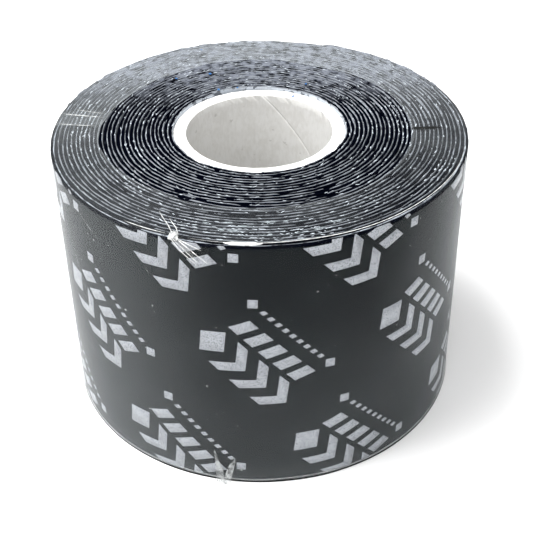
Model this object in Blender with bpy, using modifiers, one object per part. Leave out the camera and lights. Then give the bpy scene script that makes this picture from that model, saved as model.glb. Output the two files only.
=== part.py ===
"""A roll of grip tape: a lined tape wound on a paper core and held by a clear shrink band.

Run it with blender --background --python part.py, or from Blender's text editor.
Units are metres and +Z is up. The origin is at the bottom centre of the roll, on its axis.
"""

from math import cos, pi, sin, tau

import bpy

MM = 0.001

# Driving dimensions.
TAPE_WIDTH = 50.8 * MM
ROLL_RADIUS = 36.6 * MM
BORE_RADIUS = 12.7 * MM
LINER_THICKNESS = 0.2 * MM

# Facets round each turn. The film has twice as many, so its corners stay in line.
FACETS = 32

# Winding: it starts at the back, and its last turn stops just short of where it started. Each
# turn lies round and then climbs onto the next one over its last facets.
LAYERS = 28
START_FACET = 11
CLIMB_FACETS = 5

# Core: a spiral-wound paper tube, modelled ply by ply.
PLY_NAMES = (
    "core_inner_ply",
    "core_body_ply_1",
    "core_body_ply_2",
    "core_body_ply_3",
    "core_outer_ply",
)
PLY_THICKNESS = 0.45 * MM
CORE_RECESS = 0.7 * MM

# Shrink band: a clear film that turns in over both rims.
FILM_THICKNESS = 0.15 * MM
FILM_OPENING_RADIUS = 26.8 * MM
FILM_CORNER_STEPS = 3

# Clearance between pieces that touch each other.
GAP = 0.05 * MM

# Derived sizes.
TAPE_BOTTOM = FILM_THICKNESS + GAP
TAPE_TOP = TAPE_BOTTOM + TAPE_WIDTH
ROLL_HEIGHT = TAPE_TOP + GAP + FILM_THICKNESS
CORE_TOP = TAPE_TOP - CORE_RECESS
CORE_RADIUS = BORE_RADIUS + len(PLY_NAMES) * (PLY_THICKNESS + GAP) - GAP
WINDING_START = CORE_RADIUS + GAP
WINDING_END = ROLL_RADIUS - FILM_THICKNESS - GAP
PITCH = (WINDING_END - WINDING_START + GAP) / LAYERS
WEB_THICKNESS = PITCH - LINER_THICKNESS - 2 * GAP


def clear_scene():
    """Remove the objects that the scene opens with."""
    for obj in list(bpy.data.objects):
        bpy.data.objects.remove(obj, do_unlink=True)


def make_collection(name):
    """A new collection, linked to the scene."""
    collection = bpy.data.collections.new(name)
    bpy.context.scene.collection.children.link(collection)
    return collection


def make_material(name, colour, roughness, alpha=1.0):
    """A Principled material with one plain colour."""
    material = bpy.data.materials.new(name)
    material.use_nodes = True
    shader = material.node_tree.nodes["Principled BSDF"]
    shader.inputs["Base Color"].default_value = (*colour, 1.0)
    shader.inputs["Roughness"].default_value = roughness
    shader.inputs["Metallic"].default_value = 0.0
    shader.inputs["Alpha"].default_value = alpha
    return material


def turned(name, profile, facets, material, collection):
    """A closed profile of (radius, height) points, turned about the roll's axis."""
    mesh = bpy.data.meshes.new(name)
    corners = [(radius, 0.0, height) for radius, height in profile]
    edges = [(i, (i + 1) % len(corners)) for i in range(len(corners))]
    mesh.from_pydata(corners, edges, [])
    mesh.materials.append(material)
    obj = bpy.data.objects.new(name, mesh)
    collection.objects.link(obj)
    screw = obj.modifiers.new("Turn", "SCREW")
    screw.axis = "Z"
    screw.angle = tau
    screw.steps = facets
    screw.render_steps = facets
    screw.use_merge_vertices = True
    screw.merge_threshold = 0.01 * MM
    screw.use_smooth_shade = True
    sharp = obj.modifiers.new("Sharp corners", "EDGE_SPLIT")
    sharp.split_angle = pi / 6
    return obj


def layers_climbed(facet):
    """How many layers up from the core the winding is after this many facets."""
    layer, along = divmod(facet, FACETS)
    climb = max(0.0, (along - FACETS + CLIMB_FACETS) / CLIMB_FACETS)
    return layer + climb * climb * (3 - 2 * climb)


def wound_strip(name, radius, thickness, material, collection):
    """A strip wound outwards round the core, standing on its edge.

    radius is that of its inner face where it starts. The strip is a flat curve, extruded to the
    tape's width and given its thickness outwards.
    """
    curve = bpy.data.curves.new(name, "CURVE")
    curve.dimensions = "2D"
    curve.fill_mode = "NONE"
    curve.extrude = TAPE_WIDTH / 2
    spline = curve.splines.new("POLY")
    last_facet = LAYERS * FACETS - CLIMB_FACETS
    spline.points.add(last_facet)
    for facet, point in enumerate(spline.points):
        reach = radius + PITCH * layers_climbed(facet)
        angle = (START_FACET + facet) * tau / FACETS
        point.co = (reach * cos(angle), reach * sin(angle), 0.0, 1.0)
    curve.materials.append(material)
    obj = bpy.data.objects.new(name, curve)
    obj.location.z = TAPE_BOTTOM + TAPE_WIDTH / 2
    collection.objects.link(obj)
    thicken = obj.modifiers.new("Thickness", "SOLIDIFY")
    thicken.thickness = thickness
    thicken.offset = -1.0
    thicken.use_even_offset = True
    return obj


def corner_arc(radius, height, start):
    """A quarter turn of the film's outer corner, from the angle start, clockwise."""
    return [
        (
            radius + FILM_THICKNESS * cos(start - i * pi / 2 / FILM_CORNER_STEPS),
            height + FILM_THICKNESS * sin(start - i * pi / 2 / FILM_CORNER_STEPS),
        )
        for i in range(FILM_CORNER_STEPS + 1)
    ]


def make_core(collection):
    """The plies of the core, from the bore outwards."""
    board = make_material("core board", (0.62, 0.60, 0.56), 0.85)
    face = make_material("core face paper", (0.80, 0.78, 0.74), 0.75)
    for i, name in enumerate(PLY_NAMES):
        inner = BORE_RADIUS + i * (PLY_THICKNESS + GAP)
        outer = inner + PLY_THICKNESS
        profile = (
            (inner, CORE_TOP),
            (outer, CORE_TOP),
            (outer, TAPE_BOTTOM),
            (inner, TAPE_BOTTOM),
        )
        material = board if "body" in name else face
        turned(name, profile, FACETS, material, collection)


def make_winding(collection):
    """The liner and the tape, wound together with the liner inside."""
    paper = make_material("release paper", (0.72, 0.73, 0.75), 0.6)
    rubber = make_material("grip tape", (0.030, 0.033, 0.036), 0.55)
    wound_strip("release_liner", WINDING_START, LINER_THICKNESS, paper, collection)
    web_start = WINDING_START + LINER_THICKNESS + GAP
    wound_strip("tape_web", web_start, WEB_THICKNESS, rubber, collection)


def make_shrink_band(collection):
    """The clear film: a wall round the roll and a lip over each rim."""
    film = make_material("clear film", (0.80, 0.82, 0.84), 0.12, alpha=0.2)
    wall = ROLL_RADIUS - FILM_THICKNESS
    profile = [
        (FILM_OPENING_RADIUS, ROLL_HEIGHT),
        *corner_arc(wall, ROLL_HEIGHT - FILM_THICKNESS, pi / 2),
        *corner_arc(wall, FILM_THICKNESS, 0.0),
        (FILM_OPENING_RADIUS, 0.0),
        (FILM_OPENING_RADIUS, FILM_THICKNESS),
        (wall, FILM_THICKNESS),
        (wall, ROLL_HEIGHT - FILM_THICKNESS),
        (FILM_OPENING_RADIUS, ROLL_HEIGHT - FILM_THICKNESS),
    ]
    turned("shrink_band", profile, 2 * FACETS, film, collection)


def main():
    """Build the roll from the core outwards."""
    clear_scene()
    roll = make_collection("Grip tape roll")
    make_core(roll)
    make_winding(roll)
    make_shrink_band(roll)


main()
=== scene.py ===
"""Looks of a roll of lined grip tape.

A black rubber web and its white release liner are wound together on a spiral paper core, and a
clear film band is shrunk over both rims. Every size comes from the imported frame, in metres. The
axis is Z, and an azimuth is measured from the front (-Y) towards the right (+X), in degrees.
"""

import logging
import math
from dataclasses import dataclass
from enum import Enum

import bmesh
import bpy
import numpy as np
from mathutils import Matrix, Vector

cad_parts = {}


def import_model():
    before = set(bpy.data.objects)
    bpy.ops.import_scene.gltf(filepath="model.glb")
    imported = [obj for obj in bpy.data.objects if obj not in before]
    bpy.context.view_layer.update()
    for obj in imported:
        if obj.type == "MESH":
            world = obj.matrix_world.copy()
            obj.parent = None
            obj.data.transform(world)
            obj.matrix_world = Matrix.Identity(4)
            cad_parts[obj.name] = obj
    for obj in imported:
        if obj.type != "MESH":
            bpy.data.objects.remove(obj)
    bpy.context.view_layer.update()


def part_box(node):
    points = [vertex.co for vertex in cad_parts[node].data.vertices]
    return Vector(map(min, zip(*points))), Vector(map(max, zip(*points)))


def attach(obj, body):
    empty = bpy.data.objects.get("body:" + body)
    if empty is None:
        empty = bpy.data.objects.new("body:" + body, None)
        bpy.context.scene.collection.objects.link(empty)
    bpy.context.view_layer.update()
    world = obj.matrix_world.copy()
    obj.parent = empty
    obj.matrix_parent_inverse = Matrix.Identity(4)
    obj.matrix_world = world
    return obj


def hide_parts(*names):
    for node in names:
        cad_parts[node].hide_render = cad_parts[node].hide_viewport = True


LOG = logging.getLogger("grip_tape_roll")
MM = 0.001
TAU = math.tau
BODY = "root"
Path = list[tuple[float, float, float]]


class Slot(Enum):
    """The record's material slots."""

    TAPE = "grip_tape"
    LINER = "release_paper"
    FILM = "clear_film"
    CORE_FACE = "core_face_paper"
    CORE_BOARD = "core_board"


# ---------------------------------------------------------------- node tools


class NodeSheet:
    """A node tree being written."""

    def __init__(self, tree: bpy.types.NodeTree) -> None:
        """Starts on a tree.

        Args:
            tree: The tree that takes the nodes.
        """
        self.tree = tree

    def add(self, kind: str, values: dict | None = None, **settings: object) -> bpy.types.Node:
        """Adds a node.

        Args:
            kind: The node's type name.
            values: What each input holds, by name or index: a plain value, or a socket to link.
            settings: The node's own properties.

        Returns:
            The node.
        """
        node = self.tree.nodes.new(kind)
        for name, setting in settings.items():
            setattr(node, name, setting)
        for key, value in (values or {}).items():
            if isinstance(value, bpy.types.NodeSocket):
                self.tree.links.new(value, node.inputs[key])
            else:
                node.inputs[key].default_value = value
        return node

    def maths(self, operation: str, *terms: object) -> bpy.types.NodeSocket:
        """A Math node's result.

        Args:
            operation: The Math node's operation.
            terms: Its inputs in order, numbers or sockets.

        Returns:
            The output socket.
        """
        node = self.add("ShaderNodeMath", dict(enumerate(terms)), operation=operation)
        return node.outputs[0]

    def mix_colour(self, factor: object, first: object, second: object) -> bpy.types.NodeSocket:
        """A mix of two colours.

        Args:
            factor: Share of the second, a number or a socket.
            first: The first colour or socket.
            second: The second colour or socket.

        Returns:
            The output socket.
        """
        node = self.add("ShaderNodeMix", {0: factor, 6: first, 7: second}, data_type="RGBA")
        return node.outputs[2]

    def toned(self, colour: object, tone: object) -> bpy.types.NodeSocket:
        """A colour made darker or lighter.

        Args:
            colour: The colour's socket.
            tone: What it is multiplied by.

        Returns:
            The output socket.
        """
        grey = self.add("ShaderNodeCombineColor", {0: tone, 1: tone, 2: tone}).outputs[0]
        values = {0: 1.0, 6: colour, 7: grey}
        node = self.add("ShaderNodeMix", values, data_type="RGBA", blend_type="MULTIPLY")
        return node.outputs[2]

    def ramp(self, value: object, low: float, high: float) -> bpy.types.NodeSocket:
        """A value brought smoothly from 0 at low to 1 at high.

        Args:
            value: The socket to read.
            low: Where the ramp starts.
            high: Where it ends.

        Returns:
            The output socket.
        """
        values = {"Value": value, "From Min": low, "From Max": high}
        node = self.add("ShaderNodeMapRange", values, interpolation_type="SMOOTHSTEP")
        return node.outputs[0]

    def group(self, tree: bpy.types.NodeTree, values: dict) -> bpy.types.Node:
        """Places a node group.

        Args:
            tree: The group's tree.
            values: What each input holds, as in add.

        Returns:
            The group's node.
        """
        return self.add("ShaderNodeGroup", values, node_tree=tree)


def new_group(name: str, inputs: dict[str, float | None], outputs: list[str]) -> tuple:
    """An empty shader node group with its sockets made.

    Args:
        name: The group's name.
        inputs: Default of each float input, or None for a vector input.
        outputs: The float outputs.

    Returns:
        The tree, its NodeSheet, its input node and its output node.
    """
    tree = bpy.data.node_groups.new(name, "ShaderNodeTree")
    for socket, default in inputs.items():
        kind = "NodeSocketVector" if default is None else "NodeSocketFloat"
        made = tree.interface.new_socket(socket, in_out="INPUT", socket_type=kind)
        if default is not None:
            made.default_value = default
    for socket in outputs:
        tree.interface.new_socket(socket, in_out="OUTPUT", socket_type="NodeSocketFloat")
    sheet = NodeSheet(tree)
    return tree, sheet, sheet.add("NodeGroupInput"), sheet.add("NodeGroupOutput")


def speckle_group() -> bpy.types.NodeTree:
    """Small scattered specks: 1 in a speck and 0 between them.

    Returns:
        The group, made once.
    """
    if "Specks" in bpy.data.node_groups:
        return bpy.data.node_groups["Specks"]
    inputs = {"Vector": None, "Specks per metre": 4000.0, "Cover": 0.3}
    tree, sheet, source, result = new_group("Specks", inputs, ["Mask"])
    values = {"Vector": source.outputs["Vector"], "Scale": source.outputs["Specks per metre"]}
    values["Detail"] = 2.0
    noise = sheet.add("ShaderNodeTexNoise", values)
    edge = sheet.maths("SUBTRACT", 0.68, sheet.maths("MULTIPLY", source.outputs["Cover"], 0.36))
    high = sheet.maths("ADD", edge, 0.06)
    spread = {"Value": noise.outputs[0], "From Min": edge, "From Max": high}
    mask = sheet.add("ShaderNodeMapRange", spread, interpolation_type="SMOOTHSTEP")
    tree.links.new(mask.outputs[0], result.inputs["Mask"])
    return tree


def fibre_group() -> bpy.types.NodeTree:
    """Matted paper fibres, as a tone from 0 to 1 and a height.

    Returns:
        The group, made once.
    """
    if "Paper fibres" in bpy.data.node_groups:
        return bpy.data.node_groups["Paper fibres"]
    inputs = {"Vector": None, "Fibres per metre": 2500.0, "Drawn out": 3.0}
    tree, sheet, source, result = new_group("Paper fibres", inputs, ["Tone", "Height"])
    stretch = sheet.add("ShaderNodeCombineXYZ", {0: 1.0, 1: 1.0, 2: source.outputs["Drawn out"]})
    placed = {0: source.outputs["Vector"], 1: stretch.outputs[0]}
    squeezed = sheet.add("ShaderNodeVectorMath", placed, operation="DIVIDE")
    coarse = {"Vector": squeezed.outputs[0], "Scale": source.outputs["Fibres per metre"]}
    coarse["Detail"] = 3.0
    fibres = sheet.add("ShaderNodeTexNoise", coarse)
    cloud = {"Vector": source.outputs["Vector"], "Scale": 320.0, "Detail": 3.0}
    clouds = sheet.add("ShaderNodeTexNoise", cloud)
    tone = sheet.maths("MULTIPLY_ADD", clouds.outputs[0], 0.5, 0.0)
    tone = sheet.maths("MULTIPLY_ADD", fibres.outputs[0], 0.5, tone)
    tree.links.new(tone, result.inputs["Tone"])
    tree.links.new(fibres.outputs[0], result.inputs["Height"])
    return tree


# ---------------------------------------------------------------- finishes


@dataclass(frozen=True)
class Finish:
    """A material that is written as nodes."""

    name: str

    def start(self) -> tuple[bpy.types.Material, NodeSheet, bpy.types.Node, bpy.types.NodeSocket]:
        """Opens the material.

        Returns:
            The material, its sheet, its Principled shader and its object coordinates.
        """
        material = bpy.data.materials.new(self.name)
        material.use_nodes = True
        sheet = NodeSheet(material.node_tree)
        place = sheet.add("ShaderNodeTexCoord").outputs["Object"]
        return material, sheet, material.node_tree.nodes["Principled BSDF"], place

    def build(self) -> bpy.types.Material:
        """Writes the material.

        Returns:
            The material.
        """
        raise NotImplementedError


def bump(sheet: NodeSheet, shader: bpy.types.Node, height: object, depth: float) -> None:
    """Adds a bump to a shader.

    Args:
        sheet: The material's sheet.
        shader: The shader that takes the normal.
        height: The height's socket, 0 to 1.
        depth: How deep a height of 1 is, in metres.
    """
    values = {"Height": height, "Distance": depth, "Strength": 1.0}
    node = sheet.add("ShaderNodeBump", values)
    sheet.tree.links.new(node.outputs[0], shader.inputs["Normal"])


@dataclass(frozen=True)
class GripFace(Finish):
    """The web's face: matt charcoal with a fine grain and a slight bloom."""

    fresh: tuple = (0.0014, 0.0025, 0.0033, 1.0)
    worn: tuple = (0.0045, 0.0064, 0.0072, 1.0)

    def build(self) -> bpy.types.Material:
        """Writes the material.

        Returns:
            The material.
        """
        material, sheet, shader, place = self.start()
        clouds = sheet.add("ShaderNodeTexNoise", {"Vector": place, "Scale": 55.0, "Detail": 4.0})
        grain = sheet.add("ShaderNodeTexNoise", {"Vector": place, "Scale": 3800.0, "Detail": 2.0})
        tone = sheet.ramp(clouds.outputs[0], 0.35, 0.72)
        colour = sheet.mix_colour(tone, self.fresh, self.worn)
        sheet.tree.links.new(colour, shader.inputs["Base Color"])
        rough = sheet.maths("MULTIPLY_ADD", grain.outputs[0], 0.2, 0.4)
        sheet.tree.links.new(rough, shader.inputs["Roughness"])
        shader.inputs["Specular IOR Level"].default_value = 0.05
        bump(sheet, shader, grain.outputs[0], 0.002 * MM)
        return material


@dataclass(frozen=True)
class CutEdge(Finish):
    """The web's cut edge: near black, with a blue cast, a broken shine and a painted grey sheen towards the
    back.
    """

    dark: tuple = (0.0008, 0.0012, 0.0035, 1.0)
    back_sheen_grey: tuple = (0.17, 0.185, 0.22, 1.0)
    back_sheen_from: float = 7.0 * MM
    back_sheen_to: float = 24.0 * MM

    def build(self) -> bpy.types.Material:
        """Writes the material.

        Returns:
            The material.
        """
        material, sheet, shader, place = self.start()
        dust = sheet.add("ShaderNodeTexNoise", {"Vector": place, "Scale": 700.0, "Detail": 4.0})
        # Painted reflection: grey mottled patches that grow towards the back (+Y), where the edges catch the
        # bright room.
        back = sheet.add("ShaderNodeSeparateXYZ", {0: place}).outputs[1]
        back = sheet.ramp(back, self.back_sheen_from, self.back_sheen_to)
        patches = sheet.maths("MULTIPLY", sheet.ramp(dust.outputs[0], 0.34, 0.62), back)
        specks = sheet.maths("MULTIPLY", sheet.ramp(dust.outputs[0], 0.58, 0.72), 0.05)
        specks_and_back_sheen = sheet.maths("MAXIMUM", patches, specks)
        colour = sheet.mix_colour(specks_and_back_sheen, self.dark, self.back_sheen_grey)
        sheet.tree.links.new(colour, shader.inputs["Base Color"])
        rough = sheet.maths("MULTIPLY_ADD", dust.outputs[0], 0.5, 0.15)
        sheet.tree.links.new(rough, shader.inputs["Roughness"])
        shader.inputs["Specular IOR Level"].default_value = 0.0
        bump(sheet, shader, dust.outputs[0], 0.06 * MM)
        return material


@dataclass(frozen=True)
class LinerPaper(Finish):
    """The release liner: white coated paper, soiled here and there by the adhesive."""

    soil: float = 0.33
    clean: tuple = (0.46, 0.50, 0.56, 1.0)
    soiled: tuple = (0.12, 0.135, 0.16, 1.0)
    rim: float = 51.0 * MM
    rim_tone: float = 0.48

    def build(self) -> bpy.types.Material:
        """Writes the material.

        Returns:
            The material.
        """
        material, sheet, shader, place = self.start()
        fibre = {"Vector": place, "Fibres per metre": 2600.0, "Drawn out": 4.0}
        fibres = sheet.group(fibre_group(), fibre)
        soiling = {"Vector": place, "Specks per metre": 900.0, "Cover": self.soil}
        soil = sheet.group(speckle_group(), soiling)
        colour = sheet.mix_colour(soil.outputs["Mask"], self.clean, self.soiled)
        height = sheet.add("ShaderNodeSeparateXYZ", {0: place}).outputs[2]
        edge = sheet.ramp(height, self.rim - 0.35 * MM, self.rim - 0.15 * MM)
        tone = sheet.maths("MULTIPLY_ADD", fibres.outputs["Tone"], 0.7, 0.62)
        tone = sheet.maths("MULTIPLY", tone, sheet.maths("MULTIPLY_ADD", edge, self.rim_tone - 1.0, 1.0))
        colour = sheet.toned(colour, tone)
        sheet.tree.links.new(colour, shader.inputs["Base Color"])
        rough = sheet.maths("MULTIPLY_ADD", fibres.outputs["Tone"], 0.3, 0.42)
        sheet.tree.links.new(rough, shader.inputs["Roughness"])
        bump(sheet, shader, fibres.outputs["Height"], 0.03 * MM)
        return material


@dataclass(frozen=True)
class CorePaper(Finish):
    """A ply of the core: off-white board with matted fibres, a few grey specks, and walls painted darker
    than its ends as shade.
    """

    light: tuple = (0.93, 0.925, 0.905, 1.0)
    shade: tuple = (0.84, 0.83, 0.80, 1.0)
    painted_wall_shade: float = 0.72
    middle: float = 25.25 * MM
    half: float = 25.05 * MM

    def build(self) -> bpy.types.Material:
        """Writes the material.

        Returns:
            The material.
        """
        material, sheet, shader, place = self.start()
        fibre = {"Vector": place, "Fibres per metre": 1900.0, "Drawn out": 2.2}
        fibres = sheet.group(fibre_group(), fibre)
        tone = sheet.ramp(fibres.outputs["Tone"], 0.36, 0.62)
        colour = sheet.mix_colour(tone, self.shade, self.light)
        # Painted shade: the paper's walls, the bore among them, are toned darker than its cut ends.
        height = sheet.add("ShaderNodeSeparateXYZ", {0: place}).outputs[2]
        height = sheet.maths("ABSOLUTE", sheet.maths("SUBTRACT", height, self.middle))
        end = sheet.ramp(height, self.half - 0.16 * MM, self.half - 0.04 * MM)
        wall = sheet.maths("SUBTRACT", 1.0, end)
        colour = sheet.toned(colour, sheet.maths("MULTIPLY_ADD", wall, self.painted_wall_shade - 1.0, 1.0))
        dirt = {"Vector": place, "Specks per metre": 800.0, "Cover": 0.0}
        specks = sheet.group(speckle_group(), dirt)
        share = sheet.maths("MULTIPLY", specks.outputs["Mask"], 0.4)
        colour = sheet.mix_colour(share, colour, (0.30, 0.29, 0.27, 1.0))
        sheet.tree.links.new(colour, shader.inputs["Base Color"])
        rough = sheet.maths("MULTIPLY_ADD", fibres.outputs["Tone"], 0.25, 0.62)
        sheet.tree.links.new(rough, shader.inputs["Roughness"])
        bump(sheet, shader, fibres.outputs["Height"], 0.05 * MM)
        return material


@dataclass(frozen=True)
class SilverInk(Finish):
    """The print: a silver-grey ink that the tape's grain breaks up."""

    ink: tuple = (0.275, 0.29, 0.315, 1.0)
    gap: tuple = (0.055, 0.062, 0.07, 1.0)

    def build(self) -> bpy.types.Material:
        """Writes the material.

        Returns:
            The material.
        """
        material, sheet, shader, place = self.start()
        specks = sheet.group(speckle_group(), {"Vector": place, "Specks per metre": 4600.0, "Cover": 0.40})
        clouds = sheet.add("ShaderNodeTexNoise", {"Vector": place, "Scale": 700.0, "Detail": 3.0})
        share = sheet.maths("MULTIPLY", specks.outputs["Mask"], 0.62)
        colour = sheet.mix_colour(share, self.ink, self.gap)
        tone = sheet.maths("MULTIPLY_ADD", clouds.outputs[0], 0.35, 0.83)
        colour = sheet.toned(colour, tone)
        sheet.tree.links.new(colour, shader.inputs["Base Color"])
        rough = sheet.maths("MULTIPLY_ADD", specks.outputs["Mask"], 0.2, 0.42)
        sheet.tree.links.new(rough, shader.inputs["Roughness"])
        return material


@dataclass(frozen=True)
class ClearFilm(Finish):
    """The shrunk film: clear and glossy, hazier where it was drawn in over the rims; its veil and shine
    carry painted reflection and shade by place.
    """

    tint: tuple = (0.84, 0.90, 0.93, 1.0)
    wall_haze: float = 0.001
    lip_haze_and_sheen: float = 0.012
    back_lip_sheen: float = 0.048
    right_lip_shade: float = -0.014
    side_wall_sheen: float = 0.012
    foot_sheen: float = 0.009
    bottom_sheen: float = 0.014
    gloss: float = 0.28

    def build(self) -> bpy.types.Material:
        """Writes the material.

        Returns:
            The material.
        """
        material, sheet, shader, place = self.start()
        shader.inputs["Base Color"].default_value = self.tint
        shader.inputs["IOR"].default_value = 1.5
        geometry = sheet.add("ShaderNodeNewGeometry")
        up = sheet.add("ShaderNodeSeparateXYZ", {0: geometry.outputs["Normal"]}).outputs[2]
        lip = sheet.ramp(sheet.maths("ABSOLUTE", up), 0.9, 0.995)
        clouds = sheet.add("ShaderNodeTexNoise", {"Vector": place, "Scale": 110.0, "Detail": 4.0})
        fine = sheet.add("ShaderNodeTexNoise", {"Vector": place, "Scale": 900.0, "Detail": 3.0})
        # The lip's haze is partly the film's own and partly a painted reflection of the bright room.
        haze = sheet.maths("MULTIPLY_ADD", lip, self.lip_haze_and_sheen - self.wall_haze, self.wall_haze)
        uneven = sheet.maths("MULTIPLY_ADD", sheet.ramp(clouds.outputs[0], 0.35, 0.7), 0.9, 0.5)
        haze = sheet.maths("MULTIPLY", haze, uneven)
        # Painted reflection and shade: the lip's veil grows towards the back and is thinner on the right.
        along = sheet.add("ShaderNodeSeparateXYZ", {0: place})
        back = sheet.maths("MULTIPLY", sheet.ramp(along.outputs[1], -36 * MM, 36 * MM), self.back_lip_sheen)
        right = sheet.ramp(along.outputs[0], 0.0, 34 * MM)
        back = sheet.maths("MULTIPLY_ADD", right, self.right_lip_shade, back)
        haze = sheet.maths("ADD", haze, sheet.maths("MULTIPLY", back, lip))
        # Painted reflection of the floor: the wall's veil grows towards its foot, most in the bottom 8 mm.
        foot = sheet.maths("MULTIPLY_ADD", sheet.ramp(along.outputs[2], 0.0, 50 * MM), -1.0, 1.0)
        haze = sheet.maths("MULTIPLY_ADD", foot, self.foot_sheen, haze)
        rim = sheet.maths("MULTIPLY_ADD", sheet.ramp(along.outputs[2], 0.0, 8 * MM), -1.0, 1.0)
        haze = sheet.maths("MULTIPLY_ADD", sheet.maths("MULTIPLY", rim, rim), self.bottom_sheen, haze)
        haze = sheet.maths("MAXIMUM", haze, 0.0005)
        crease = sheet.add("ShaderNodeAttribute", attribute_name="crease").outputs["Fac"]
        haze = sheet.maths("ADD", haze, sheet.maths("MULTIPLY", crease, 0.5))
        mirror = sheet.add("ShaderNodeFresnel", {"IOR": 1.45}).outputs[0]
        front = sheet.maths("SUBTRACT", 1.0, geometry.outputs["Backfacing"])
        mirror = sheet.maths("MULTIPLY", mirror, sheet.maths("MULTIPLY", front, self.gloss))
        tilt = sheet.maths("ABSOLUTE", up)
        shoulder = sheet.maths("SUBTRACT", sheet.ramp(tilt, 0.04, 0.2), sheet.ramp(tilt, 0.93, 0.99))
        mirror = sheet.maths("MULTIPLY", mirror, sheet.maths("MULTIPLY_ADD", shoulder, -0.85, 1.0))
        # Painted shade: the shine is cut on the upper middle of the wall, away from its sides, its foot and
        # the lips.
        left = sheet.maths("MULTIPLY", along.outputs[0], -1.0)
        right_side = sheet.ramp(along.outputs[0], 14 * MM, 32 * MM)
        side = sheet.maths("MAXIMUM", right_side, sheet.ramp(left, -4 * MM, 17 * MM))
        off_lip = sheet.maths("SUBTRACT", 1.0, lip)
        above_foot = sheet.maths("SUBTRACT", 1.0, foot)
        high = sheet.maths("MULTIPLY", sheet.maths("SUBTRACT", 1.0, side), above_foot)
        high = sheet.maths("MULTIPLY", high, off_lip)
        mirror = sheet.maths("MULTIPLY", mirror, sheet.maths("MULTIPLY_ADD", high, -0.6, 1.0))
        # Painted reflection: a whiter veil near both sides of the wall, and more shine on the left.
        left = sheet.maths("MULTIPLY", sheet.ramp(left, 4 * MM, 26 * MM), off_lip)
        haze = sheet.maths("MULTIPLY_ADD", left, self.side_wall_sheen, haze)
        right = sheet.maths("MULTIPLY", sheet.ramp(along.outputs[0], 20 * MM, 35 * MM), off_lip)
        haze = sheet.maths("MULTIPLY_ADD", right, self.side_wall_sheen, haze)
        mirror = sheet.maths("MULTIPLY", mirror, sheet.maths("MULTIPLY_ADD", left, 0.3, 1.0))
        share = sheet.maths("MINIMUM", sheet.maths("ADD", haze, mirror), 0.95)
        sheet.tree.links.new(share, shader.inputs["Alpha"])
        sheet.tree.links.new(sheet.maths("DIVIDE", mirror, share), shader.inputs["Metallic"])
        rough = sheet.maths("MULTIPLY_ADD", fine.outputs[0], 0.16, 0.06)
        sheet.tree.links.new(rough, shader.inputs["Roughness"])
        bump(sheet, shader, clouds.outputs[0], 0.04 * MM)
        return material


@dataclass(frozen=True)
class FoldedFilm(Finish):
    """Film that is pleated or gathered, so that its layers turn white."""

    tint: tuple = (0.84, 0.86, 0.85, 1.0)
    least: float = 0.12
    most: float = 0.6

    def build(self) -> bpy.types.Material:
        """Writes the material.

        Returns:
            The material.
        """
        material, sheet, shader, place = self.start()
        shader.inputs["Base Color"].default_value = self.tint
        shader.inputs["IOR"].default_value = 1.5
        folds = sheet.add("ShaderNodeTexNoise", {"Vector": place, "Scale": 1100.0, "Detail": 4.0})
        share = sheet.ramp(folds.outputs[0], 0.36, 0.66)
        alpha = sheet.maths("MULTIPLY_ADD", share, self.most - self.least, self.least)
        sheet.tree.links.new(alpha, shader.inputs["Alpha"])
        rough = sheet.maths("MULTIPLY_ADD", folds.outputs[0], 0.25, 0.06)
        sheet.tree.links.new(rough, shader.inputs["Roughness"])
        bump(sheet, shader, folds.outputs[0], 0.12 * MM)
        return material


@dataclass(frozen=True)
class PlainMark(Finish):
    """A small mark of one ink, slightly uneven."""

    ink: tuple = (0.02, 0.10, 0.30, 1.0)
    faint: tuple = (0.06, 0.22, 0.46, 1.0)
    shine: float = 0.3

    def build(self) -> bpy.types.Material:
        """Writes the material.

        Returns:
            The material.
        """
        material, sheet, shader, place = self.start()
        clouds = sheet.add("ShaderNodeTexNoise", {"Vector": place, "Scale": 2600.0, "Detail": 2.0})
        colour = sheet.mix_colour(sheet.ramp(clouds.outputs[0], 0.4, 0.7), self.ink, self.faint)
        sheet.tree.links.new(colour, shader.inputs["Base Color"])
        shader.inputs["Roughness"].default_value = 0.5
        shader.inputs["Specular IOR Level"].default_value = self.shine
        return material


@dataclass(frozen=True)
class StageWhite(Finish):
    """The floor's plain white, with a faint paper grain."""

    tint: tuple = (0.93, 0.93, 0.93, 1.0)

    def build(self) -> bpy.types.Material:
        """Writes the material.

        Returns:
            The material.
        """
        material, sheet, shader, place = self.start()
        grain = sheet.add("ShaderNodeTexNoise", {"Vector": place, "Scale": 220.0, "Detail": 2.0})
        near = (0.925, 0.925, 0.925, 1.0)
        colour = sheet.mix_colour(grain.outputs[0], self.tint, near)
        sheet.tree.links.new(colour, shader.inputs["Base Color"])
        shader.inputs["Roughness"].default_value = 0.9
        shader.inputs["Specular IOR Level"].default_value = 0.1
        return material


# ---------------------------------------------------------------- mesh tools


def grid_faces(columns: int, rows: int, wrap_columns: bool, wrap_rows: bool) -> np.ndarray:
    """The quads of a grid of points, numbered column by column.

    Args:
        columns: How many columns there are.
        rows: How many points each column has.
        wrap_columns: Whether the last column joins the first.
        wrap_rows: Whether each column is a loop.

    Returns:
        The corners of each quad.
    """
    i = np.arange(columns if wrap_columns else columns - 1)
    j = np.arange(rows if wrap_rows else rows - 1)
    i, j = np.meshgrid(i, j, indexing="ij")
    after, above = (i + 1) % columns, (j + 1) % rows
    corners = (i * rows + j, after * rows + j, after * rows + above, i * rows + above)
    return np.stack(corners, -1).reshape(-1, 4)


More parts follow.
